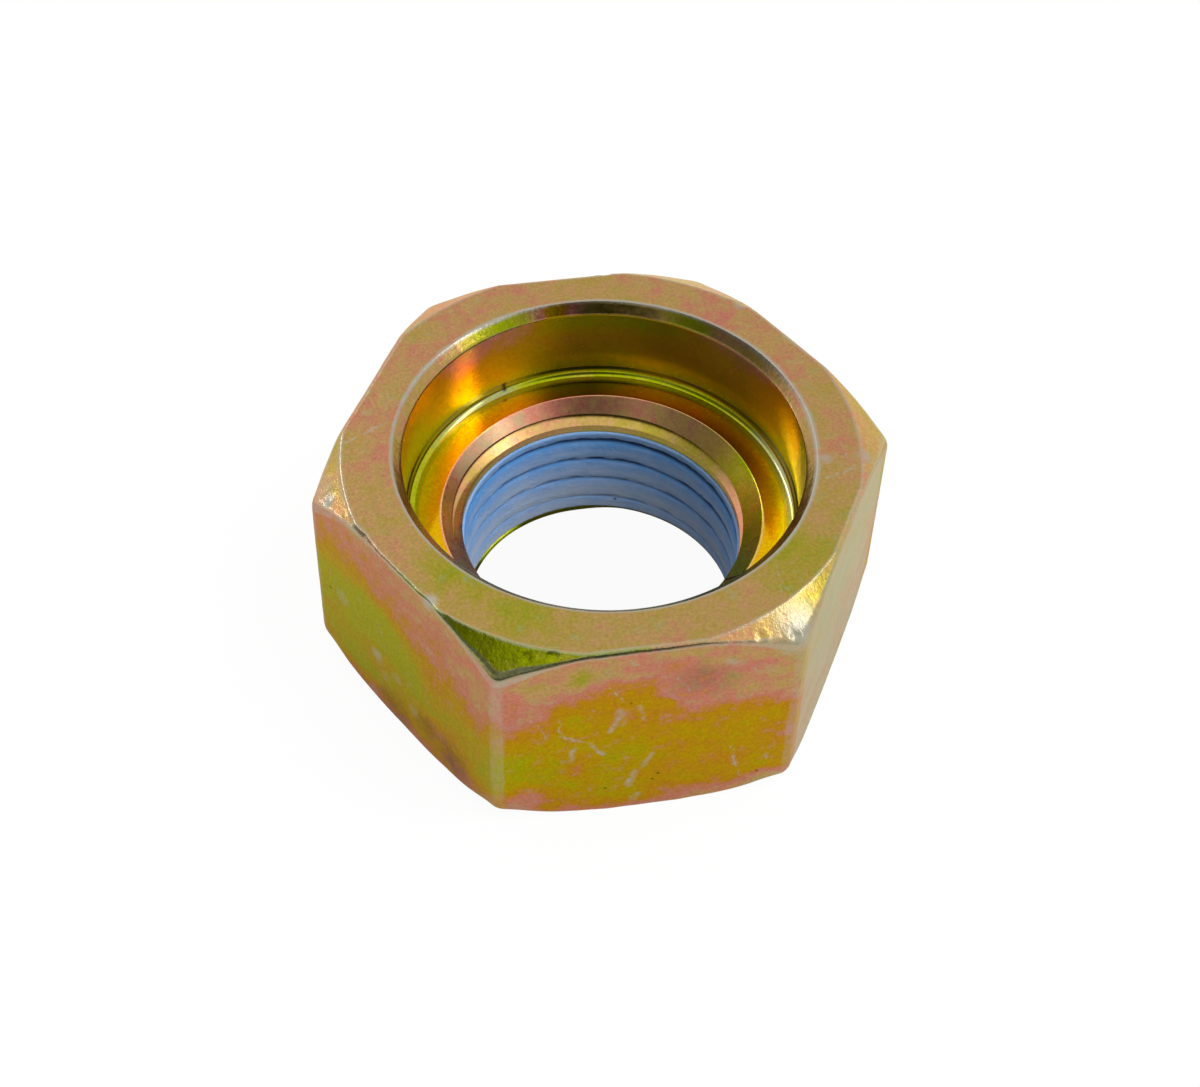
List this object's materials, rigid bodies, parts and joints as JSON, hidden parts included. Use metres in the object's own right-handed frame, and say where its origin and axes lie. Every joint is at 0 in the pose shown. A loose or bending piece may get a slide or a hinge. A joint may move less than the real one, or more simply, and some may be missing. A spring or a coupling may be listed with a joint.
{
  "type": "hexagon nut with counterbore",
  "caption": "Hexagon nut with a deep round counterbore in its mouth face, a countersunk thread below it and a fused locking coat over the thread.",
  "frame": {"origin": "centre of the bearing face, on the thread axis", "axes": "+Z along the thread axis, out of the counterbore's mouth; -Y out of one wrench flat; +X through one corner"},
  "size_m": [0.0414, 0.036, 0.0176],
  "materials": {
    "zinc_plated_steel": "turned and forged steel with yellow iridescent passivated zinc plating, satin outside and glossy in the counterbore",
    "locking_nylon": "matt blue nylon powder fused over the thread"
  },
  "bodies": {
    "root": {"nut_body": "zinc_plated_steel", "thread_coat": "locking_nylon"}
  },
  "joints": []
}
